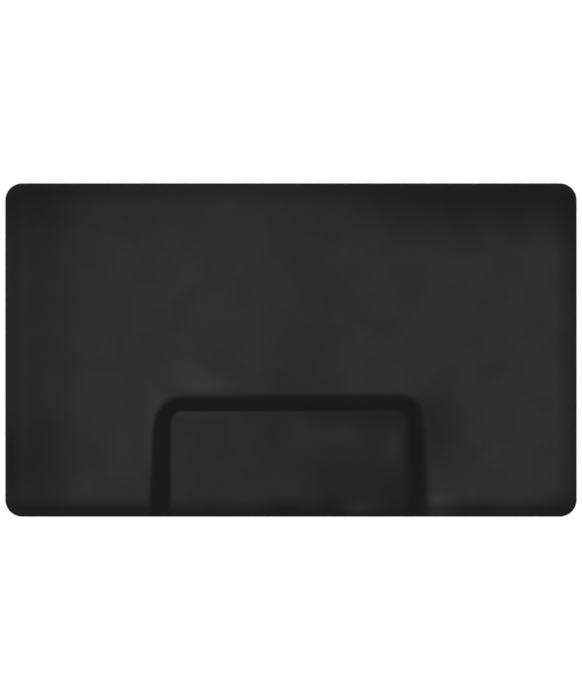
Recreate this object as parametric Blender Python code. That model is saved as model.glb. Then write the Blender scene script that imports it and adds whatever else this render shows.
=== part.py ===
"""An anti-fatigue floor mat for a salon styling chair, with a recess for the front half of the chair's
square base plate.

Four bonded layers: a grip backing on the floor, a thin firm foam sheet, a thick soft foam slab that is
notched round the recess, and a vinyl cover formed over all of it and welded to the backing at the rim.
+Z is up, +X runs along the mat's long side, and the recess opens towards -Y. The origin is the centre
of the underside, on the floor. Lengths are in metres.
"""

import math

import bmesh
import bpy

MM = 0.001
INCH = 0.0254

# The whole mat.
LENGTH = 60 * INCH
DEPTH = 35 * INCH
THICKNESS = 22 * MM
CORNER_RADIUS = 45 * MM

# The edge all round, which rises from a thin upright rim in one long arc.
RIM_HEIGHT = 3.2 * MM
EDGE_WIDTH = 65 * MM
EDGE_ANGLE = 2 * math.atan((THICKNESS - RIM_HEIGHT) / EDGE_WIDTH)  # at the rim
EDGE_RADIUS = EDGE_WIDTH / math.sin(EDGE_ANGLE)
EDGE_STEPS = 8
CORNER_TIGHTENING = 0.5  # how much of an inset comes off the corner radius

# The chair recess, cut in from the front edge.
CHAIR_BASE = 24 * INCH
BASE_CLEARANCE = 11 * MM  # on each side of the chair's base plate
RECESS_WIDTH = CHAIR_BASE + 2 * BASE_CLEARANCE
RECESS_DEPTH = 285 * MM
RECESS_HEIGHT = 7 * MM  # the recess floor above the ground
RECESS_RADIUS = 35 * MM
WALL_ANGLE = math.radians(21.5)
SHOULDER_RADIUS = 60 * MM  # rounding where a wall turns into the level top
SHOULDER_STEPS = 5
WALL_FLARE = 0.28  # how much wider the side walls' slopes are at the front edge than at the back

# The layers.
GAP = 0.3 * MM  # between bonded faces
BACKING = 1.5 * MM
COVER = 2 * MM
SUPPORT_BOTTOM = BACKING + GAP
SUPPORT_TOP = RECESS_HEIGHT - COVER - GAP
CAVITY_HEIGHT = SUPPORT_TOP + GAP  # of the cover's hollow at its sides, outside which it is solid

ARC_STEPS = 8
SIDE_STEPS = 6
OVERRUN = 30 * MM  # how far a cutter reaches past what it cuts
NEAR = 0.001 * MM


def clear_scene():
    for obj in list(bpy.data.objects):
        bpy.data.objects.remove(obj, do_unlink=True)


def collection(name):
    made = bpy.data.collections.new(name)
    bpy.context.scene.collection.children.link(made)
    return made


def material(name, colour, roughness):
    made = bpy.data.materials.new(name)
    made.use_nodes = True
    shader = made.node_tree.nodes["Principled BSDF"]
    shader.inputs["Base Color"].default_value = (*colour, 1.0)
    shader.inputs["Roughness"].default_value = roughness
    shader.inputs["Metallic"].default_value = 0.0
    made.diffuse_color = (*colour, 1.0)
    return made


# ---------------------------------------------------------------- sections and outlines


class Slope:
    """A fall from the level top: a round shoulder, then a straight slope at the angle. Runs are measured
    back from where the level top ends, and `skin` is how far inside the mat's surface another one lies."""

    def __init__(self, angle, radius, steps):
        self.angle = angle
        self.radius = radius
        self.steps = steps

    def on_shoulder(self, skin, turn):
        """(run, height) where the shoulder has turned that far from level."""
        radius = self.radius - skin
        return radius * math.sin(turn), THICKNESS - self.radius + radius * math.cos(turn)

    def turn_at(self, skin, height):
        """How far the shoulder has turned where it reaches a height."""
        return math.acos((height - THICKNESS + self.radius) / (self.radius - skin))

    def run(self, skin, height):
        """How far back the slope reaches a height."""
        end_run, end_height = self.on_shoulder(skin, self.angle)
        if height > end_height:
            return self.on_shoulder(skin, self.turn_at(skin, height))[0]
        return end_run + (end_height - height) / math.tan(self.angle)

    def section(self, skin, foot_height):
        """(run, height) from the foot, through the shoulder, to the level top."""
        points = []
        turn = self.angle
        if foot_height < self.on_shoulder(skin, turn)[1] - NEAR:
            points.append((self.run(skin, foot_height), foot_height))
        else:
            turn = self.turn_at(skin, foot_height)
        for step in range(self.steps + 1):
            points.append(self.on_shoulder(skin, turn * (1 - step / self.steps)))
        return points


EDGE = Slope(EDGE_ANGLE, EDGE_RADIUS, EDGE_STEPS)
WALL = Slope(WALL_ANGLE, SHOULDER_RADIUS, SHOULDER_STEPS)
WALL_RUN = WALL.run(0.0, RECESS_HEIGHT)
RIM_WIDTH = EDGE_WIDTH - EDGE.run(COVER, CAVITY_HEIGHT)


def arc(centre_x, centre_y, radius, start):
    """A quarter circle of points, anticlockwise from the start angle."""
    points = []
    for step in range(ARC_STEPS + 1):
        turn = start + math.pi / 2 * step / ARC_STEPS
        points.append((centre_x + radius * math.cos(turn), centre_y + radius * math.sin(turn)))
    return points


def mat_outline(inset):
    """The mat's rounded rectangle, moved in from the rim."""
    radius = CORNER_RADIUS - CORNER_TIGHTENING * inset
    x = LENGTH / 2 - inset - radius
    y = DEPTH / 2 - inset - radius
    corners = ((x, y), (-x, y), (-x, -y), (x, -y))
    points = []
    for quarter, (centre_x, centre_y) in enumerate(corners):
        points += arc(centre_x, centre_y, radius, quarter * math.pi / 2)
    return points


def recess_outline(outset):
    """The recess's U, moved out from the foot of its walls. Its ends run past the mat's front edge, and
    the side walls flare out towards them."""
    back = -DEPTH / 2 + RECESS_DEPTH + outset
    front = -DEPTH / 2 - OVERRUN
    radius = RECESS_RADIUS + outset
    half = RECESS_WIDTH / 2 + outset
    steps = [step / SIDE_STEPS for step in range(1, SIDE_STEPS + 1)]
    side = [back - radius + (front - back + radius) * step for step in steps]
    points = [(half, y) for y in reversed(side)]
    points += arc(half - radius, back - radius, radius, 0.0)
    points += arc(radius - half, back - radius, radius, math.pi / 2)
    points += [(-half, y) for y in side]

    def flared(x, y):
        share = max(0.0, back - radius - y) / RECESS_DEPTH
        return (x + math.copysign(outset * WALL_FLARE * share, x), y)

    return [flared(x, y) for x, y in points]


# ---------------------------------------------------------------- solids


def loft(name, rings, home):
    """A closed solid carried through flat rings of equally many points, from the lowest up. Its sides are
    triangles, so that the solids nested in each other are all folded the same way."""
    mesh = bpy.data.meshes.new(name)
    made = bmesh.new()
    levels = [[made.verts.new((x, y, height)) for x, y in outline] for outline, height in rings]
    made.faces.new(reversed(levels[0]))
    made.faces.new(levels[-1])
    for low, high in zip(levels, levels[1:]):
        for i in range(len(low)):
            j = (i + 1) % len(low)
            made.faces.new((low[i], low[j], high[j]))
            made.faces.new((low[i], high[j], high[i]))
    made.to_mesh(mesh)
    made.free()
    obj = bpy.data.objects.new(name, mesh)
    home.objects.link(obj)
    return obj


def prism(name, inset, bottom, top, home):
    return loft(name, [(mat_outline(inset), bottom), (mat_outline(inset), top)], home)


def edge_rings(skin, foot_height):
    """The mat's own shape without its recess, `skin` inside its surface, from a height up."""
    return [(mat_outline(EDGE_WIDTH - run), height) for run, height in EDGE.section(skin, foot_height)]


def domed_solid(name, skin, foot_height, bottom, home):
    """The same with upright sides below that height."""
    rings = edge_rings(skin, foot_height)
    return loft(name, [(rings[0][0], bottom)] + rings, home)


def recess_cutter(name, skin, home):
    """What the recess takes out of a solid that lies `skin` inside the mat's surface."""
    section = WALL.section(skin, RECESS_HEIGHT - skin)
    rings = [(recess_outline(WALL_RUN - run), height) for run, height in section]
    rings.append((recess_outline(WALL_RUN), THICKNESS + OVERRUN))
    return helper(loft(name, rings, home))


def helper(obj):
    obj.hide_render = True
    obj.display_type = "WIRE"
    return obj


def cut(obj, cutter):
    modifier = obj.modifiers.new(cutter.name, "BOOLEAN")
    modifier.operation = "DIFFERENCE"
    modifier.solver = "EXACT"
    modifier.object = cutter
    return obj


def finish(obj, surface):
    obj.data.materials.append(surface)
    obj.data.shade_smooth()
    obj.data.set_sharp_from_angle(angle=math.radians(12))


# ---------------------------------------------------------------- the mat's pieces


def grip_backing(parts):
    """The textured vinyl sheet that the mat lies on, out to the rim all round."""
    sheet = prism("grip_backing", 0.0, 0.0, BACKING, parts)
    finish(sheet, material("grip_backing", (0.022, 0.022, 0.023), 0.75))


def support_foam(parts):
    """The thin firm foam sheet under the whole mat, which alone carries the chair in the recess."""
    sheet = prism("support_foam", RIM_WIDTH + GAP, SUPPORT_BOTTOM, SUPPORT_TOP, parts)
    finish(sheet, material("support_foam", (0.05, 0.05, 0.055), 0.95))


def comfort_foam(parts, cutters):
    """The thick soft foam slab, with a notch round the recess and slopes on every side."""
    skin = COVER + GAP
    slab = loft("comfort_foam", edge_rings(skin, SUPPORT_TOP + GAP), parts)
    cut(slab, recess_cutter("comfort_foam_notch", skin, cutters))
    finish(slab, material("comfort_foam", (0.09, 0.09, 0.095), 0.95))


def wear_cover(parts, cutters):
    """The formed vinyl sheet on top. Its cavity holds both foams, and its solid rim lies on the backing."""
    shell = domed_solid("wear_cover", 0.0, RIM_HEIGHT, BACKING + GAP, parts)
    cut(shell, recess_cutter("cover_recess", 0.0, cutters))
    cavity = helper(domed_solid("cover_cavity", COVER, CAVITY_HEIGHT, -OVERRUN, cutters))
    cut(cavity, recess_cutter("cavity_recess", COVER, cutters))
    cut(shell, cavity)
    finish(shell, material("wear_cover", (0.028, 0.028, 0.028), 0.5))


def main():
    clear_scene()
    parts = collection("anti_fatigue_mat")
    cutters = collection("cutters")
    grip_backing(parts)
    support_foam(parts)
    comfort_foam(parts, cutters)
    wear_cover(parts, cutters)


main()
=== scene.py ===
"""Looks for a cushioned floor mat with a chair recess: the formed vinyl cover, the two foams inside it and
the studded backing, with a pale studio floor and soft light from above.

Everything is in metres in the mat's own frame: +Z up, +X along the long side, the recess opening towards
-Y, and the origin on the floor under the mat's centre.
"""

import math

import bpy
import numpy as np
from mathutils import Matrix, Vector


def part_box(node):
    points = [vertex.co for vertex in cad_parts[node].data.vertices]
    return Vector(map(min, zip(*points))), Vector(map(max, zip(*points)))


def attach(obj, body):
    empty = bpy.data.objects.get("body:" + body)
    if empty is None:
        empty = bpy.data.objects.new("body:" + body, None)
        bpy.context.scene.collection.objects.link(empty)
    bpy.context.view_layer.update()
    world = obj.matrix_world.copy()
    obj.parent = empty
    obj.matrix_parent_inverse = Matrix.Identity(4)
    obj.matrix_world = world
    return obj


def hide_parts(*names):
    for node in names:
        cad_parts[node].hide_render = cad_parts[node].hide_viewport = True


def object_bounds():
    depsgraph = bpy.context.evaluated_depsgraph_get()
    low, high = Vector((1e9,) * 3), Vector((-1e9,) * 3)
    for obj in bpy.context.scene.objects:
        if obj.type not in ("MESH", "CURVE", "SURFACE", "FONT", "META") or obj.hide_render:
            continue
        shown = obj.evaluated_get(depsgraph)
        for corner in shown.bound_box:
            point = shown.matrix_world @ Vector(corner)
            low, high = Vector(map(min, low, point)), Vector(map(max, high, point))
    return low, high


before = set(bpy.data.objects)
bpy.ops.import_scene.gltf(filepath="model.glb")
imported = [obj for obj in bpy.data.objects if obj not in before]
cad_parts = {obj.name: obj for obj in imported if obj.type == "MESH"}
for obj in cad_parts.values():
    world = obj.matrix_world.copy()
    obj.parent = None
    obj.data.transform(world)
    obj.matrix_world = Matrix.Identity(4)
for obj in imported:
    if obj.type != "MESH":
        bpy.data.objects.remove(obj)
cad_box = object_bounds()

MM = 0.001
HALF_LENGTH = cad_box[1].x
HALF_DEPTH = cad_box[1].y
TOP = cad_box[1].z
FRONT = -HALF_DEPTH

# The formed shape, as the mould makes it.
CORNER_RADIUS = 45 * MM
CORNER_TIGHTENING = 0.5  # how much of an inset comes off the corner radius
RIM_HEIGHT = 3.2 * MM
EDGE_WIDTH = 65 * MM
EDGE_ANGLE = 2 * math.atan((TOP - RIM_HEIGHT) / EDGE_WIDTH)  # at the rim
EDGE_RADIUS = EDGE_WIDTH / math.sin(EDGE_ANGLE)
RECESS_HALF = 315.8 * MM
RECESS_DEPTH = 285 * MM
RECESS_BACK = FRONT + RECESS_DEPTH
RECESS_RADIUS = 35 * MM
RECESS_HEIGHT = 7 * MM
RECESS_CREASE = 1.3 * MM  # how far apart two heights are where the crease between them starts to fill
RECESS_RIDGE = 1.6 * MM
LIP_WIDTH = 55 * MM  # the recess floor's front part, which has sunk
LIP_FALL = 3.4 * MM
LIP_WEAR = 0.16  # how much the fall varies along the edge
UNEVENNESS = 0.16 * MM
UNEVEN_DROP = 1.5  # how many times the unevenness it is taken down by
WAVES = 22
SQUARENESS = 2.4  # of the recess's corners, where 2 is a circle
WALL_ANGLE = math.radians(19)
WALL_RADIUS = 30 * MM  # rounding where a wall turns into the level top
WALL_FLARE = 0.28  # how much wider the side walls are at the front edge than at the back

# The layers.
COVER = 2 * MM
GAP = 0.3 * MM
CLEAR = 0.1 * MM
COVER_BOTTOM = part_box("wear_cover")[0].z
BACKING_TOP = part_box("grip_backing")[1].z
THINNEST_FOAM = 0.3 * MM
LOWEST_LINING = BACKING_TOP + THINNEST_FOAM + 2 * GAP


# ---------------------------------------------------------------- the mat's form


def slope_height(run, angle, radius, skin):
    """The height at each distance back from where the level top ends, for the surface that lies `skin`
    inside the mat's own: level, then a circle down to the angle, then a straight slope at it."""
    radius = radius - skin
    end = radius * math.sin(angle)
    on_circle = np.clip(run, 0.0, end)
    fall = radius - np.sqrt(radius**2 - on_circle**2)
    return TOP - skin - fall - np.clip(run - end, 0.0, None) * math.tan(angle)


def slope_width(angle, radius, height):
    """How far back from the level top a slope reaches a height on its straight part."""
    shoulder_fall = radius * (1 - math.cos(angle))
    return radius * math.sin(angle) + (TOP - shoulder_fall - height) / math.tan(angle)


WALL_WIDTH = slope_width(WALL_ANGLE, WALL_RADIUS, RECESS_HEIGHT)


def soft_max(a, b, reach):
    """The larger of two heights, with the crease between them filled over where they differ by less than
    the reach: larger + reach/4 (1 - difference/reach) squared."""
    near = np.clip(1 - np.abs(a - b) / reach, 0.0, None)
    return np.maximum(a, b) + reach / 4 * near**2


def soft_min(a, b, reach):
    """The smaller of two heights, with the ridge between them rounded off in the same way."""
    return -soft_max(-a, -b, reach)


def smooth_step(x, low, high):
    """0 below the low value, 1 above the high one, and a smooth cubic between."""
    t = np.clip((x - low) / (high - low), 0.0, 1.0)
    return t * t * (3 - 2 * t)


def fade(x, low, high, first, last):
    """The first value below the low end, the last one above the high end, and a smooth cubic between."""
    return first + (last - first) * smooth_step(x, low, high)


def rim_inset(x, y):
    """How far in from the rim each point lies. Along a side it is the distance to the side. In a corner it
    is the inset i whose arc, of radius R - k i about a centre moved in by (1 - k) i, passes through the
    point: the root of (2 (1-k)^2 - k^2) i^2 + 2 B i + C = 0."""
    across = np.minimum(HALF_LENGTH - np.abs(x), HALF_DEPTH - np.abs(y))
    other = np.maximum(HALF_LENGTH - np.abs(x), HALF_DEPTH - np.abs(y))
    px = np.abs(x) - (HALF_LENGTH - CORNER_RADIUS)
    py = np.abs(y) - (HALF_DEPTH - CORNER_RADIUS)
    k = CORNER_TIGHTENING
    a = 2 * (1 - k) ** 2 - k**2
    b = (1 - k) * (px + py) + k * CORNER_RADIUS
    c = px**2 + py**2 - CORNER_RADIUS**2
    turned = (-b + np.sqrt(np.clip(b * b - a * c, 0.0, None))) / a
    in_corner = other < across + np.clip(CORNER_RADIUS - k * across, 0.0, None)
    return np.where(in_corner, turned, across)


def wall_outset(x, y):
    """How far out from the foot of the recess's walls each point lies, less the side walls' flare: the
    distance to a rounded U, divided along its sides by a width that grows towards the front."""
    beside = np.abs(x) - (RECESS_HALF - RECESS_RADIUS)
    behind = y - (RECESS_BACK - RECESS_RADIUS)
    squared = np.clip(beside, 0.0, None) ** SQUARENESS + np.clip(behind, 0.0, None) ** SQUARENESS
    turned = squared ** (1 / SQUARENESS) - RECESS_RADIUS
    share = np.clip(-behind, 0.0, None) / RECESS_DEPTH
    straight = (beside - RECESS_RADIUS) / (1 + WALL_FLARE * share)
    return np.where(behind > 0, turned, straight)


def waves(x, y, shortest, longest, seed):
    """An even unevenness of about 1 either way: the sum of cosine waves in all directions, each as high as
    it is long, so that no wavelength stands out by its slope."""
    rng = np.random.default_rng(seed)
    total = np.zeros_like(x)
    lengths = np.geomspace(shortest, longest, WAVES)
    turns = rng.uniform(0, np.pi, WAVES)
    phases = rng.uniform(0, 2 * np.pi, WAVES)
    for length, turn, phase in zip(lengths, turns, phases):
        total += length * np.cos(2 * np.pi * (x * np.cos(turn) + y * np.sin(turn)) / length + phase)
    return total / np.sqrt((lengths**2).sum() / 2)


def lip_fall(x, y):
    """How far the recess's floor has sunk near the front edge: the square of the distance, more in some
    places than in others."""
    reach = np.clip(1 - (y - FRONT) / LIP_WIDTH, 0.0, None)
    worn = 1 + LIP_WEAR * waves(x, y, 60 * MM, 240 * MM, seed=9)
    return LIP_FALL * worn * reach**2


def formed_height(x, y, skin=0.0):
    """The height of the formed surface that lies `skin` inside the mat's own: the lower of the outer edge's
    slope and the recess, whose foot, lip and front corners are rounded."""
    edge = slope_height(EDGE_WIDTH - rim_inset(x, y), EDGE_ANGLE, EDGE_RADIUS, skin)
    wall = slope_height(WALL_WIDTH - wall_outset(x, y), WALL_ANGLE, WALL_RADIUS, skin)
    floor = RECESS_HEIGHT - skin - lip_fall(x, y)
    recess = soft_max(wall, floor, RECESS_CREASE)
    return soft_min(edge, recess, RECESS_RIDGE)


def settled_height(x, y):
    """The formed height with the slight unevenness of vinyl over foam, which fades out at the rim. It is
    taken down a little, so that it hardly stands above the formed surface."""
    uneven = waves(x, y, 70 * MM, 320 * MM, seed=4) - UNEVEN_DROP
    return formed_height(x, y) + UNEVENNESS * smooth_step(rim_inset(x, y), 4 * MM, 60 * MM) * uneven


def lining_height(x, y):
    """The inside of the cover, a sheet's thickness below its outside, but for where the sunk lip has thinned
    the sheet over the pinched foam."""
    inside = np.minimum(formed_height(x, y, COVER), settled_height(x, y) - COVER) - CLEAR
    return np.maximum(inside, LOWEST_LINING)


# ---------------------------------------------------------------- the cover's paleness, with painted shade and painted highlights

# Paler and darker patches: middle x, y, reach along x, y, and how much paler or darker.
PATCHES = (
    # The next three: a painted highlight along the brow of the recess's back and left walls.
    (-0.296, -0.088, 0.100, 0.060, 0.28),  # behind the recess's left corner
    (-0.190, -0.092, 0.070, 0.024, 0.45),
    (-0.360, -0.180, 0.030, 0.050, 0.50),
    (-0.250, 0.130, 0.190, 0.170, 0.18),
    (-0.430, -0.280, 0.090, 0.190, 0.16),  # left of the recess
    (0.020, -0.095, 0.100, 0.055, -0.28),  # the middle
    (-0.105, -0.035, 0.045, 0.035, 0.16),
    (0.050, 0.100, 0.090, 0.180, -0.14),
    (0.480, 0.170, 0.110, 0.090, 0.15),
    (0.590, -0.230, 0.130, 0.230, 0.14),
    # Painted shade beside the recess's right wall.
    (0.385, -0.210, 0.070, 0.100, -0.45),  # right of the recess's back corner
    (0.380, -0.432, 0.040, 0.035, 2.00),  # the front edge, right of the recess
    (-0.690, -0.290, 0.100, 0.090, -0.45),  # the left end
    (-0.752, -0.300, 0.020, 0.110, -0.40),
    (0.740, 0.310, 0.035, 0.090, -0.25),  # the right end
    (0.722, -0.418, 0.060, 0.040, -0.50),  # the front right corner
    (0.186, -0.355, 0.140, 0.075, -0.18),  # the recess's floor, front right
    (0.275, -0.400, 0.045, 0.050, -0.40),
    (0.187, -0.434, 0.048, 0.020, 2.60),
    (0.130, -0.225, 0.090, 0.030, 0.30),
    (0.275, -0.250, 0.030, 0.040, 0.30),
    (0.230, -0.175, 0.110, 0.030, -0.45),  # the recess's floor, back right
    (-0.260, -0.172, 0.060, 0.010, 0.35),  # the recess's floor, along its back left
    # The next three: painted shade on the recess's sunk front lip.
    (-0.210, -0.436, 0.022, 0.016, -0.50),  # along the recess's front edge
    (-0.015, -0.430, 0.058, 0.025, -0.80),
    (0.105, -0.428, 0.033, 0.031, -0.80),
)
PLAIN_PALENESS = 0.63  # out of 1 for the most
# The paleness on the recess's walls: painted shade.
WALL_PAINTED_SHADE = 0.03

# Where the paleness changes, as distances from an edge and the shares of it at their two ends.
# Painted shade towards the left end, and painted light on its slope.
LEFT_END = (70 * MM, 220 * MM, 0.64, 1.0)
LEFT_RIM = (0.0, 85 * MM, 0.40, 0.0)  # added at the left end
# Painted shade along the right rim.
RIGHT_RIM = (4 * MM, 26 * MM, 0.70, 1.0)
# The next two: painted shade on the front slope.
FRONT_SLOPE = (22 * MM, 32 * MM, 0.40, 0.75)
FRONT_BROW = (28 * MM, 56 * MM, 0.0, 0.25)  # added to the front slope's
FLOOR_ACROSS = (-150 * MM, 250 * MM, 0.82, 0.60)  # from the recess's left to its right
# Painted shade on the recess floor's sunk front lip.
FLOOR_FRONT = (0.0, 52 * MM, 0.20, 1.0)
# The next three: painted shade on the slopes.
OUTER_SLOPE = (18 * MM, 60 * MM, 1.0, 0.0)  # how much of the two shares below comes off
SLOPE_LOSS = 0.40
RECESS_SLOPE_LOSS = 0.15
# A line of painted shade along the rim.
RIM_LINE = (0.0, 7 * MM, 0.40, 1.0)

# The band along the back is darker, painted shade, and more so away from one place along it.
BACK_SHADE_LEAST = -200 * MM
BACK_SHADE_ALONG = (50 * MM, 700 * MM, 0.12, 0.80)
BACK_SHADE_RIM = (10 * MM, 45 * MM, 0.75, 1.0)
BACK_SHADE_DEPTH = (30 * MM, 210 * MM, 1.0, 0.0)

# Distances in mm out from the foot of the recess's walls, along the back, and then how much further they
# are on the left side, on the left part of the back, on the right side, on its part clear of the back, and
# on its end by the front edge.
DARK_STARTS = (-8, 8, 0, -22, 0, 0)
DARK_IN_FULL = (0, 9, 0, 2, 0, 0)
DARK_UNTIL = (30, 15, -3, -6, 4, -5)
DARK_ENDS = (51, 6, -3, -9, 13, -6)

CREASE_OUTSET = 3 * MM
CREASE_REACH = 5 * MM


def wall_painted_shade(x, y):
    """1 on the recess's walls, which are painted dark as shade, and 0 on level ground: it comes in over the
    shoulder and ends round the foot, more gradually at the right."""
    in_front = RECESS_BACK - y
    beside = smooth_step(in_front, -30 * MM, 45 * MM)
    left = smooth_step(-x, 250 * MM, 330 * MM) * beside
    right = smooth_step(x, 250 * MM, 330 * MM) * beside
    back_left = smooth_step(-x, 0.0, 200 * MM) * (1 - beside)
    clear_right = right * smooth_step(in_front, 20 * MM, 75 * MM)
    front_right = right * (1 - smooth_step(y - FRONT, 5 * MM, 40 * MM))
    places = np.ones_like(x), left, back_left, right, clear_right, front_right

    def edge(distances):
        return MM * sum(distance * place for distance, place in zip(distances, places))

    outset = wall_outset(x, y)
    above = 1 - smooth_step(outset, edge(DARK_UNTIL), edge(DARK_ENDS))
    return above * smooth_step(outset, edge(DARK_STARTS), edge(DARK_IN_FULL))


def crease(x, y):
    """1 along the foot of the recess's back wall, in a bell curve across it: there the cover is painted dark,
    as shade in the crease.
    """
    behind = smooth_step(y, RECESS_BACK - 10 * MM, RECESS_BACK)
    return behind * np.exp(-(((wall_outset(x, y) - CREASE_OUTSET) / CREASE_REACH) ** 2))


def trodden(x, y):
    """The cover's paleness, from 0 to 1, with painted shade in it: the product of the shares left by each
    edge, the slopes and the patches, with a low share on the recess's walls and none in the crease, both
    painted shade."""
    from_left, from_right = HALF_LENGTH + x, HALF_LENGTH - x
    from_back, from_front = HALF_DEPTH - y, y - FRONT
    inset = rim_inset(x, y)
    left = fade(from_left, *LEFT_END) + fade(from_left, *LEFT_RIM)
    right = fade(from_right, *RIGHT_RIM)
    back_shade = fade(np.abs(x - BACK_SHADE_LEAST), *BACK_SHADE_ALONG) * fade(from_back, *BACK_SHADE_RIM)
    back = 1 - back_shade * fade(from_back, *BACK_SHADE_DEPTH)
    front = fade(from_front, *FRONT_SLOPE) + fade(from_front, *FRONT_BROW)
    floor = fade(x, *FLOOR_ACROSS) * fade(from_front, *FLOOR_FRONT)
    in_recess = 1 - smooth_step(wall_outset(x, y), -10 * MM, 10 * MM)
    front += (floor - front) * in_recess
    patchy = 1.0
    for at_x, at_y, reach_x, reach_y, gain in PATCHES:
        patchy = patchy + gain * np.exp(-(((x - at_x) / reach_x) ** 2) - ((y - at_y) / reach_y) ** 2)
    loss = SLOPE_LOSS + (RECESS_SLOPE_LOSS - SLOPE_LOSS) * in_recess
    slope = (1 - loss * fade(inset, *OUTER_SLOPE)) * fade(inset, *RIM_LINE)
    wall = wall_painted_shade(x, y)
    painted_paleness = PLAIN_PALENESS * slope * left * right * back * front * patchy * (1 - wall) + WALL_PAINTED_SHADE * wall
    return np.clip(painted_paleness, 0.0, 1.0) * (1 - crease(x, y))


# ---------------------------------------------------------------- grids


def stretches(*stops):
    """Positions from 0 on, where each stop (end, step) is reached in equal steps no longer than its own."""
    positions = [np.zeros(1)]
    for end, step in stops:
        start = positions[-1][-1]
        count = math.ceil((end - start) / step - 1e-9)
        positions.append(np.linspace(start, end, count + 1)[1:])
    return np.concatenate(positions)


def mirrored(positions):
    return np.concatenate([-positions[:0:-1], positions])


def mat_grid(inset, columns, rows):
    """Points (x, y) on a rows-by-columns grid that fills the mat's outline moved in by an inset. Columns are
    straight, but for their ends at each corner, where a row is drawn in to the width of the arc there."""
    radius = CORNER_RADIUS - inset
    half = HALF_LENGTH - inset
    past = np.clip(np.abs(rows) - (HALF_DEPTH - CORNER_RADIUS), 0.0, radius)
    width = half - radius + np.sqrt(radius**2 - past**2)
    start = half - 2.6 * radius
    beyond = np.clip(np.abs(columns) - start, 0.0, None)
    shrink = (width - start) / (half - start)
    x = np.sign(columns) * (np.minimum(np.abs(columns), start) + beyond * shrink[:, None])
    return x, np.repeat(rows[:, None], len(columns), axis=1)


def corner_rows(inset, steps):
    """Distances from the middle to the front or back line, over a corner's arc, in equal turns of it."""
    turn = np.linspace(0, np.pi / 2, steps + 1)[1:]
    return HALF_DEPTH - CORNER_RADIUS + (CORNER_RADIUS - inset) * np.sin(turn)


def grid_faces(rows, columns, first=0):
    """The quads of a grid of points, facing up if rows run along +Y and columns along +X."""
    index = first + np.arange(rows * columns).reshape(rows, columns)
    corners = index[:-1, :-1], index[:-1, 1:], index[1:, 1:], index[1:, :-1]
    return np.stack(corners, axis=-1).reshape(-1, 4)


def grid_rim(rows, columns, first=0):
    """The indices round a grid, anticlockwise from above."""
    index = first + np.arange(rows * columns).reshape(rows, columns)
    return np.concatenate([index[0, :-1], index[:-1, -1], index[-1, :0:-1], index[:0:-1, 0]])


def strip_faces(upper, lower):
    """The quads between two loops of equally many points, facing outwards if both run anticlockwise."""
    return np.stack([lower, np.roll(lower, -1), np.roll(upper, -1), upper], axis=-1)


def pushed_out(x, y, distance):
    """Outline points moved outwards: away from the nearest point of the rectangle between the corners'
    centres."""
    from_x = x - np.clip(x, CORNER_RADIUS - HALF_LENGTH, HALF_LENGTH - CORNER_RADIUS)
    from_y = y - np.clip(y, CORNER_RADIUS - HALF_DEPTH, HALF_DEPTH - CORNER_RADIUS)
    length = np.hypot(from_x, from_y)
    return x + distance * from_x / length, y + distance * from_y / length


def new_piece(name, points, faces, material, replaces):
    """A smooth mesh piece that rides on the mat and stands for one of its solids. Faces is a list of index
    arrays, one array for each number of corners."""
    mesh = bpy.data.meshes.new(name)
    mesh.from_pydata(points, [], [face for group in faces for face in group.tolist()])
    mesh.shade_smooth()
    mesh.materials.append(material)
    piece = bpy.data.objects.new(name, mesh)
    bpy.context.scene.collection.objects.link(piece)
    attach(piece, "root")
    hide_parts(replaces)
    return piece


def note(piece, name, values):
    """Stores one number for each point, which a material reads by name."""
    attribute = piece.data.attributes.new(name, "FLOAT", "POINT")
    attribute.data.foreach_set("value", values.astype(np.float32))


# ---------------------------------------------------------------- materials


class Shade:
    """A node's output socket. Arithmetic on it adds Math nodes."""

    def __init__(self, nodes, socket):
        self.nodes = nodes
        self.socket = socket

    def __add__(self, other):
        return self.nodes.math("ADD", self, other)

    def __sub__(self, other):
        return self.nodes.math("SUBTRACT", self, other)

    def __rsub__(self, other):
        return self.nodes.math("SUBTRACT", other, self)

    def __mul__(self, other):
        return self.nodes.math("MULTIPLY", self, other)

    __radd__ = __add__
    __rmul__ = __mul__


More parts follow.
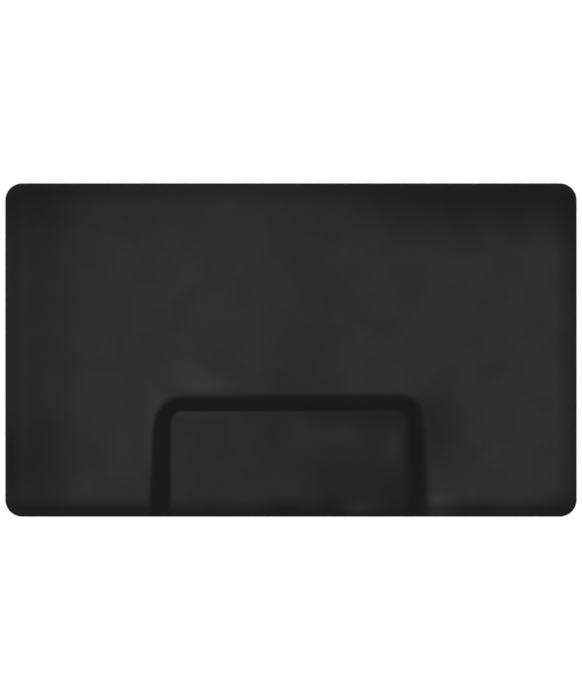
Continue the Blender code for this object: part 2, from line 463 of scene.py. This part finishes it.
class Nodes:
    """A material's node tree."""

    def __init__(self, name):
        self.material = bpy.data.materials.new(name)
        self.material.use_nodes = True
        self.tree = self.material.node_tree
        self.tree.nodes.clear()

    def add(self, kind, settings, sockets, output=""):
        """A node of a kind, with its settings made first and then its sockets' values or links. A ramp's
        stops are (position, grey) pairs. Its first output is used unless another is named."""
        node = self.tree.nodes.new(kind)
        for name, value in settings.items():
            if name == "stops":
                self.set_stops(node.color_ramp.elements, value)
            else:
                setattr(node, name, value)
        for name, value in sockets.items():
            socket = next(s for s in node.inputs if name in (s.identifier, s.name))
            if isinstance(value, Shade):
                self.tree.links.new(value.socket, socket)
            else:
                socket.default_value = value
        return Shade(self, next((s for s in node.outputs if output in (s.identifier, "")), None))

    @staticmethod
    def set_stops(elements, stops):
        while len(elements) < len(stops):
            elements.new(0.5)
        for element, (position, grey) in zip(elements, stops):
            element.position = position
            element.color = (grey, grey, grey, 1.0)

    def math(self, operation, a, b):
        return self.add("ShaderNodeMath", {"operation": operation}, {"Value": a, "Value_001": b})

    def ramp(self, value, *stops):
        return self.add("ShaderNodeValToRGB", {"stops": stops}, {"Fac": value})

    def mix(self, factor, a, b):
        """From colour a to colour b."""
        sockets = {"Factor_Float": factor, "A_Color": a, "B_Color": b}
        return self.add("ShaderNodeMix", {"data_type": "RGBA"}, sockets, output="Result_Color")

    def position(self):
        return self.add("ShaderNodeTexCoord", {}, {}, output="Object")

    def noted(self, name):
        return self.add("ShaderNodeAttribute", {"attribute_name": name}, {}, output="Fac")

    def noise(self, at, length, detail=2.0, roughness=0.5, distortion=0.0):
        """Soft noise whose blotches are about that long."""
        sockets = {"Vector": at, "Scale": 1 / length, "Detail": detail}
        sockets |= {"Roughness": roughness, "Distortion": distortion}
        return self.add("ShaderNodeTexNoise", {}, sockets)

    def cells(self, at, length, feature="F1"):
        """The distance from the middle, or to the edge, of irregular cells about that long."""
        sockets = {"Vector": at, "Scale": 1 / length}
        return self.add("ShaderNodeTexVoronoi", {"feature": feature}, sockets)

    def bump(self, height, distance, strength):
        sockets = {"Height": height, "Distance": distance, "Strength": strength}
        return self.add("ShaderNodeBump", {}, sockets)

    def surface(self, **sockets):
        """The Principled shader, to the material's output. Words in a socket's name are joined by _."""
        named = {name.replace("_", " "): value for name, value in sockets.items()}
        shader = self.add("ShaderNodeBsdfPrincipled", {}, named)
        self.add("ShaderNodeOutputMaterial", {}, {"Surface": shader})
        return self.material


def grey(value, warmth=0.0):
    return (value * (1 + warmth), value, value * (1 - warmth), 1.0)


CLOUD = 110 * MM
STREAK = 16 * MM
STREAK_STRETCH = 0.12
PEBBLE = 2.2 * MM
PORE = 0.8 * MM
GRAIN_DEPTH = 0.35 * MM
# The cover's colour at no paleness, as in the painted shade of the crease, and at the most.
PAINTED_SHADE_BLACK = 0.0026
PALE_BLACK = 0.0264


def cover_vinyl():
    """Black vinyl with a fine pebbled grain and pores. Its level ground is paler, in soft clouds with faint
    streaks, most on the pebbles' tops, and its slopes, walls and crease are darker: painted shade."""
    nodes = Nodes("cover_vinyl")
    at = nodes.position()
    clouds = nodes.noise(at, CLOUD, detail=3.0, roughness=0.5, distortion=0.4)
    wiped = nodes.add("ShaderNodeMapping", {}, {"Vector": at, "Scale": (1.0, STREAK_STRETCH, 1.0)})
    streaks = nodes.noise(wiped, STREAK, detail=2.0)
    cast = nodes.ramp(clouds, (0.3, 0.0), (0.7, 1.0)) * 0.7 + streaks * 0.3
    painted_paleness = nodes.noted("trodden") * (0.82 + 0.36 * cast)
    grain = nodes.cells(at, PEBBLE, "DISTANCE_TO_EDGE")
    pores = nodes.noise(at, PORE, detail=2.0)
    pebbles = nodes.ramp(grain, (0.0, 0.0), (0.3, 1.0))
    return nodes.surface(
        Base_Color=nodes.mix(painted_paleness * (0.75 + 0.35 * pebbles), grey(PAINTED_SHADE_BLACK), grey(PALE_BLACK, 0.005)),
        Roughness=0.58 - 0.06 * cast - 0.05 * pebbles + 0.04 * pores,
        Specular_IOR_Level=0.08,
        Normal=nodes.bump(pebbles * 0.8 + pores * 0.3, GRAIN_DEPTH, strength=0.8),
    )


def foam(name, tone, cell):
    """Closed-cell foam with its outer cells cut open: dark pits, painted shade in the hollows, between paler
    walls, and a slow drift of tone."""
    nodes = Nodes(name)
    at = nodes.position()
    pits = nodes.cells(at, cell)
    drift = nodes.noise(at, 30 * MM, detail=3.0)
    shade = nodes.ramp(pits, (0.1, 0.15), (0.7, 1.0)) * 0.7 + drift * 0.3
    return nodes.surface(
        Base_Color=nodes.mix(shade, grey(tone * 0.55), grey(tone * 1.25)),
        Roughness=0.86 + 0.1 * drift,
        Normal=nodes.bump(pits, cell * 0.5, strength=0.8),
    )


TOOTH = 0.7 * MM
TOOTH_DEPTH = 0.1 * MM
BACKING_BLACK = 0.014
RUBBED_BLACK = 0.026


def backing_vinyl():
    """Dull black non-slip vinyl with a fine tooth, and slightly rubbed stud faces."""
    nodes = Nodes("backing_vinyl")
    at = nodes.position()
    drift = nodes.noise(at, 50 * MM, detail=4.0)
    tooth = nodes.noise(at, TOOTH, detail=3.0, roughness=0.6)
    rubbed = nodes.noted("raised") * nodes.ramp(drift, (0.35, 0.2), (0.7, 1.0))
    return nodes.surface(
        Base_Color=nodes.mix(rubbed, grey(BACKING_BLACK), grey(RUBBED_BLACK)),
        Roughness=0.78 - 0.14 * rubbed + 0.08 * tooth,
        Specular_IOR_Level=0.35,
        Normal=nodes.bump(tooth, TOOTH_DEPTH, strength=0.5),
    )


# ---------------------------------------------------------------- the pieces

NOSE_RADIUS = 2.2 * MM  # the rounding under the rim
NOSE_INSET = NOSE_RADIUS * (1 - math.sin(EDGE_ANGLE))
NOSE_STEPS = 5
WELD = 5.5 * MM  # how far in from the rim the cover is solid
FINE = 2.3 * MM  # steps over the slopes and walls
MIDDLING = 4 * MM  # steps next to the corners' arcs
COARSE = 10 * MM  # steps on level ground
FINE_RIM = 70 * MM  # how far in from the ends the steps are fine
MIDDLING_RIM = 24 * MM
FOOT_MARGIN = 12 * MM  # how far inside the foot of the walls fine steps start
BROW_MARGINS = (6 * MM, 4 * MM)  # and how far outside their shoulders they end, at the sides and the back
COVER_CORNER_STEPS = 24


def cover_lines():
    """The cover grid's columns and rows: close together over the slopes and the recess's walls."""
    half = HALF_LENGTH - NOSE_INSET
    foot = RECESS_HALF - FOOT_MARGIN
    brow = RECESS_HALF + WALL_WIDTH * (1 + WALL_FLARE) + BROW_MARGINS[0]
    columns = stretches((foot, COARSE), (brow, FINE), (half - FINE_RIM, COARSE), (half, FINE))
    inner = HALF_DEPTH - CORNER_RADIUS
    ends = corner_rows(NOSE_INSET, COVER_CORNER_STEPS)
    outer = inner - MIDDLING_RIM
    floor = RECESS_BACK - FOOT_MARGIN
    back = RECESS_BACK + WALL_WIDTH + BROW_MARGINS[1]
    front_part = -stretches((inner, MIDDLING))[::-1]
    front_part = front_part[front_part < -outer]
    middle = -outer + stretches((floor + outer, COARSE), (back + outer, FINE), (2 * outer, COARSE))
    rows = [-ends[::-1], front_part, middle, -front_part[::-1], ends]
    return mirrored(columns), np.concatenate(rows)


def nose_loops(rim_x, rim_y, rim_z):
    """Loops of points from just under the rim to the weld: a quarter turn of an ellipse, which starts at the
    edge slope's angle and ends upright, as high as the rim stands over the cover's underside."""
    full = math.cos(EDGE_ANGLE)
    for turn in np.linspace(EDGE_ANGLE, math.pi / 2, NOSE_STEPS + 1)[1:]:
        out_x, out_y = pushed_out(rim_x, rim_y, NOSE_INSET - NOSE_RADIUS * (1 - math.sin(turn)))
        height = COVER_BOTTOM + (rim_z - COVER_BOTTOM) * math.cos(turn) / full
        yield np.stack([out_x, out_y, height], axis=-1)


def make_cover():
    """The cover: a formed top on a grid, a round nose down to the weld, and the cavity's own surface, 2 mm
    inside the top and stepping down to the weld near the rim."""
    columns, rows = cover_lines()
    x, y = mat_grid(NOSE_INSET, columns, rows)
    shape = len(rows), len(columns)
    inside = np.where(rim_inset(x, y) < WELD, COVER_BOTTOM, lining_height(x, y))
    points = [np.stack([x, y, settled_height(x, y)], axis=-1).reshape(-1, 3)]
    rim = grid_rim(*shape)
    loops = [rim]
    count = x.size
    for loop in nose_loops(*points[0][rim].T):
        points.append(loop)
        loops.append(count + np.arange(len(rim)))
        count += len(rim)
    points.append(np.stack([x, y, inside], axis=-1).reshape(-1, 3))
    loops.append(grid_rim(*shape, first=count))
    faces = [grid_faces(*shape), grid_faces(*shape, first=count)[:, ::-1]]
    faces += [strip_faces(upper, lower) for upper, lower in zip(loops, loops[1:])]
    points = np.concatenate(points)
    cover = new_piece("cover", points, faces, cover_vinyl(), "wear_cover")
    note(cover, "trodden", trodden(*points[:, :2].T))


def under_cover(x, y):
    """The highest that a foam reaches: just clear of the cover's inside."""
    return lining_height(x, y) - GAP


def foam_inset(replaces):
    return HALF_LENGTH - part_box(replaces)[1].x


def foam_sheet(name, grid, top, material, replaces):
    """A foam sheet or pad in the place of a solid: a grid of points (x, y) lifted to its top, the same grid
    on its flat bottom, and one strip of upright sides."""
    x, y = grid
    bottom = np.full_like(x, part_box(replaces)[0].z)
    points = [np.stack([x, y, z], axis=-1).reshape(-1, 3) for z in (top, bottom)]
    faces = [grid_faces(*x.shape), grid_faces(*x.shape, first=x.size)[:, ::-1]]
    faces.append(strip_faces(grid_rim(*x.shape), grid_rim(*x.shape, first=x.size)))
    piece = new_piece(name, np.concatenate(points), faces, material, replaces)
    piece.data.set_sharp_from_angle(angle=FOAM_SHARP)


FOAM_SHARP = math.radians(50)
FIRM_STEP = 12 * MM
FIRM_END_STEP = 5 * MM  # next to the corners' arcs
FIRM_END = 60 * MM
CORNER_STEPS = 8
FIRM_TONE = 0.045
FIRM_CELL = 0.8 * MM


def make_firm_foam():
    """The thin firm sheet under everything, level but where the front of the recess presses on it."""
    inset = foam_inset("support_foam")
    columns = mirrored(stretches((HALF_LENGTH - inset, FIRM_STEP)))
    inner = HALF_DEPTH - CORNER_RADIUS
    ends = corner_rows(inset, CORNER_STEPS)
    middle = mirrored(stretches((inner - FIRM_END, FIRM_STEP), (inner, FIRM_END_STEP)))
    x, y = mat_grid(inset, columns, np.concatenate([-ends[::-1], middle, ends]))
    top = np.minimum(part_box("support_foam")[1].z, under_cover(x, y))
    material = foam("firm_foam", FIRM_TONE, FIRM_CELL)
    foam_sheet("firm_foam", (x, y), top, material, "support_foam")


CUT_OUTSET = 6 * MM  # from the foot of the recess's walls to the soft pad
SOFT_TAPER = 3 * MM  # how much further in the soft pad ends than its solid, where it would be too thin
KNEE = 45 * MM  # how far from the pad's front its cut-out flares more
KNEE_FLARE = 0.8  # the flare there, out of 1 at the front
FOAM_SLOPE = 66 * MM  # how much of each row's ends is in fine steps
FOAM_FINE = 6 * MM
LEVEL_STEPS = 13
SIDE_STEPS = 40
SOFT_TONE = 0.07
SOFT_CELL = 1.6 * MM


def line(start, end, steps):
    """Points on a straight line, in equal steps."""
    return np.linspace(start, end, steps + 1)


def arc(centre, radius, first, last, steps):
    """Points on an arc, in equal steps between two turns, which are anticlockwise from +X."""
    turn = np.linspace(first, last, steps + 1)
    return np.array(centre) + radius * np.stack([np.cos(turn), np.sin(turn)], axis=-1)


def joined(*runs):
    """Runs that each start where the one before ends, as one path without doubled points."""
    return np.concatenate([runs[0][:1], *(run[1:] for run in runs)])


def both_halves(path):
    """A path's right half, which ends on the middle plane, with its mirror image after it."""
    return np.concatenate([path, path[-2::-1] * (-1, 1)])


def soft_outer_edge(half_x, half_y, radius):
    """The right half of the pad's outer edge, from the front right corner round to the middle of the back."""
    centre_x, centre_y = half_x - radius, half_y - radius
    return joined(
        arc((centre_x, -centre_y), radius, -math.pi / 2, 0.0, CORNER_STEPS),
        line((half_x, -centre_y), (half_x, centre_y), SIDE_STEPS),
        arc((centre_x, centre_y), radius, 0.0, math.pi / 2, CORNER_STEPS),
        line((centre_x, half_y), (0.0, half_y), SIDE_STEPS),
    )


def soft_inner_edge(half_y):
    """The right half of the pad's cut-out, a little way up the recess's walls: from the front, where it
    flares with them, round to the middle of its back."""
    bend_x, bend_y = RECESS_HALF - RECESS_RADIUS, RECESS_BACK - RECESS_RADIUS
    bend = RECESS_RADIUS + CUT_OUTSET
    flare = WALL_FLARE * CUT_OUTSET
    front = (bend_x + bend + flare, -half_y)
    knee = (bend_x + bend + flare * KNEE_FLARE, -half_y + KNEE)
    return joined(
        line(front, knee, CORNER_STEPS),
        line(knee, (bend_x + bend, bend_y), SIDE_STEPS),
        arc((bend_x, bend_y), bend, 0.0, math.pi / 2, CORNER_STEPS),
        line((bend_x, bend_y + bend), (0.0, bend_y + bend), SIDE_STEPS),
    )


def make_soft_foam():
    """The soft pad, a U round the recess. A grid's rows run from the recess to the outer edge, in fine steps
    under the slopes at both ends, and follow one another from the front right round to the front left."""
    inset = foam_inset("comfort_foam") + SOFT_TAPER
    half_y = HALF_DEPTH - inset
    start = both_halves(soft_inner_edge(half_y))
    end = both_halves(soft_outer_edge(HALF_LENGTH - inset, half_y, CORNER_RADIUS - inset))
    span = end - start
    length = np.hypot(*span.T)[:, None]
    fine = stretches((FOAM_SLOPE, FOAM_FINE)) / length
    last = fine[:, -1:]
    level = last + (1 - 2 * last) * np.linspace(0, 1, LEVEL_STEPS + 1)[1:-1]
    share = np.concatenate([fine, level, 1 - fine[:, ::-1]], axis=1)
    x = start[:, :1] + share * span[:, :1]
    y = start[:, 1:] + share * span[:, 1:]
    material = foam("soft_foam", SOFT_TONE, SOFT_CELL)
    foam_sheet("soft_foam", (x, y), under_cover(x, y), material, "comfort_foam")


STUD_PITCH = 14 * MM
STUD_BASE = 4.6 * MM  # from a stud's middle to the corners of its foot
STUD_FACE = 3.4 * MM
STUD_HEIGHT = 0.7 * MM
MARGIN = 18 * MM  # the plain border
MARGIN_SLOPE = 0.8 * MM  # from the sunk ground out to the border's face
CHAMFER = 0.3 * MM
BACKING_SHARP = math.radians(20)


def stud_cells(line_x, line_y):
    """The points and downward faces of sunk ground in square cells, each with a diamond stud in its middle:
    a ring of eight triangles from the cell's corners to the stud's foot, four sides and a face."""
    x, y = (axis.ravel() for axis in np.meshgrid(line_x, line_y))
    ground = np.stack([x, y, np.full_like(x, STUD_HEIGHT)], axis=-1)
    middles = np.meshgrid((line_x[1:] + line_x[:-1]) / 2, (line_y[1:] + line_y[:-1]) / 2)
    middle = np.stack(middles, axis=-1).reshape(-1, 1, 2)
    turn = np.arange(4) * np.pi / 2
    spokes = np.stack([np.cos(turn), np.sin(turn)], axis=-1)
    cells = len(middle)

    def diamonds(reach, height):
        flat = middle + reach * spokes
        return np.concatenate([flat, np.full((cells, 4, 1), height)], axis=-1).reshape(-1, 3)

    feet = len(ground) + np.arange(cells * 4).reshape(cells, 4)
    tips = feet + cells * 4
    index = np.arange(len(ground)).reshape(len(line_y), len(line_x))
    # A cell's corners, anticlockwise from +X+Y, so that corner n lies between spokes n and n + 1.
    corner = np.stack([index[1:, 1:], index[1:, :-1], index[:-1, :-1], index[:-1, 1:]], axis=-1)
    corner = corner.reshape(-1, 4)
    after = np.roll(np.arange(4), -1)
    flats = np.stack([corner, feet, feet[:, after]], axis=-1).reshape(-1, 3)
    wedges = np.stack([corner, feet[:, after], corner[:, after]], axis=-1).reshape(-1, 3)
    sides = np.stack([feet, tips, tips[:, after], feet[:, after]], axis=-1).reshape(-1, 4)
    points = [ground, diamonds(STUD_BASE, STUD_HEIGHT), diamonds(STUD_FACE, 0.0)]
    return points, [flats, wedges, sides, tips[:, ::-1]]


def outline_from(x, y):
    """The mat's outline in step with points round a smaller rectangle: each is stretched to the full
    rectangle, then drawn to the corner radius from the rectangle between the corners' centres."""
    box_x = x * HALF_LENGTH / (HALF_LENGTH - MARGIN)
    box_y = y * HALF_DEPTH / (HALF_DEPTH - MARGIN)
    core_x = np.clip(box_x, CORNER_RADIUS - HALF_LENGTH, HALF_LENGTH - CORNER_RADIUS)
    core_y = np.clip(box_y, CORNER_RADIUS - HALF_DEPTH, HALF_DEPTH - CORNER_RADIUS)
    share = CORNER_RADIUS / np.hypot(box_x - core_x, box_y - core_y)
    return core_x + (box_x - core_x) * share, core_y + (box_y - core_y) * share


def make_backing():
    """The backing: studs that stand down to the floor, inside a plain border that reaches the mat's outline
    with chamfers, and a flat top."""
    half_x = HALF_LENGTH - MARGIN
    half_y = HALF_DEPTH - MARGIN
    line_x = np.linspace(-half_x, half_x, round(2 * half_x / STUD_PITCH) + 1)
    line_y = np.linspace(-half_y, half_y, round(2 * half_y / STUD_PITCH) + 1)
    shape = len(line_y), len(line_x)
    points, faces = stud_cells(line_x, line_y)
    ground = points[0]
    count = sum(len(p) for p in points)

    rim = grid_rim(*shape)
    rim_x, rim_y, _ = ground[rim].T
    border = rim_x * (1 + MARGIN_SLOPE / half_x), rim_y * (1 + MARGIN_SLOPE / half_y)
    edge = outline_from(rim_x, rim_y)
    chamfered = pushed_out(*edge, -CHAMFER)
    outlines = border, chamfered, edge, edge, chamfered
    heights = 0.0, 0.0, CHAMFER, BACKING_TOP - CHAMFER, BACKING_TOP
    loops = [rim]
    for (loop_x, loop_y), height in zip(outlines, heights):
        points.append(np.stack([loop_x, loop_y, np.full_like(loop_x, height)], axis=-1))
        loops.append(count + np.arange(len(rim)))
        count += len(rim)
    points.append(np.stack([*ground[:, :2].T, np.full(len(ground), BACKING_TOP)], axis=-1))
    loops.append(grid_rim(*shape, first=count))
    faces.append(grid_faces(*shape, first=count))
    faces += [strip_faces(upper, lower)[:, ::-1] for upper, lower in zip(loops, loops[1:])]
    points = np.concatenate(points)
    backing = new_piece("backing", points, faces, backing_vinyl(), "grip_backing")
    backing.data.set_sharp_from_angle(angle=BACKING_SHARP)
    note(backing, "raised", (points[:, 2] < CLEAR).astype(float))


# ---------------------------------------------------------------- the studio


FLOOR_RADIUS = 30.0
FLOOR_DROP = 0.2 * MM  # below the mat's underside, so that the two don't share a plane
FLOOR_STEPS = 128


def make_floor():
    """A wide round pale floor under the mat."""
    turn = np.linspace(0, 2 * np.pi, FLOOR_STEPS + 1)[:-1]
    rim = [FLOOR_RADIUS * np.cos(turn), FLOOR_RADIUS * np.sin(turn), np.full_like(turn, -FLOOR_DROP)]
    mesh = bpy.data.meshes.new("floor")
    mesh.from_pydata(np.stack(rim, axis=-1), [], [list(range(FLOOR_STEPS))])
    nodes = Nodes("pale_floor")
    mesh.materials.append(nodes.surface(Base_Color=grey(0.9), Roughness=0.9, Specular_IOR_Level=0.1))
    floor = bpy.data.objects.new("floor", mesh)
    bpy.context.scene.collection.objects.link(floor)


LAMP_SIZE = (3.4, 3.0)
LAMP_PLACE = (0.1, -0.1, 4.6)
LAMP_POWER = 62.0
SURROUND = 1.0  # how bright the even white surround is


def make_light():
    """One broad soft box overhead and an even white surround."""
    data = bpy.data.lights.new("soft_box", "AREA")
    data.shape = "RECTANGLE"
    data.size, data.size_y = LAMP_SIZE
    data.energy = LAMP_POWER
    lamp = bpy.data.objects.new("soft_box", data)
    lamp.location = LAMP_PLACE
    lamp.visible_camera = False
    bpy.context.scene.collection.objects.link(lamp)
    world = bpy.data.worlds.new("surround")
    world.use_nodes = True
    background = world.node_tree.nodes["Background"]
    background.inputs["Color"].default_value = (1.0, 1.0, 1.0, 1.0)
    background.inputs["Strength"].default_value = SURROUND
    bpy.context.scene.world = world
    bpy.context.scene.view_settings.view_transform = "Standard"


FRAME_WIDTH = 582
FRAME_HEIGHT = 700
SENSOR = 36.0
LENS = 120.0
MAT_SHARE = 0.981  # how much of the frame's width the mat fills
FARTHEST = 100.0


def make_camera():
    """A long lens straight above the mat, with the recess at the bottom of the frame. It is as high as makes
    the frame as wide as the mat over its share."""
    data = bpy.data.cameras.new("camera")
    data.sensor_width = SENSOR
    data.lens = LENS
    data.clip_end = FARTHEST
    across = SENSOR * FRAME_WIDTH / FRAME_HEIGHT
    camera = bpy.data.objects.new("camera", data)
    camera.location = (0.0, 0.0, 2 * HALF_LENGTH / MAT_SHARE * LENS / across)
    bpy.context.scene.collection.objects.link(camera)
    bpy.context.scene.camera = camera


make_cover()
make_firm_foam()
make_soft_foam()
make_backing()
make_floor()
make_light()
make_camera()
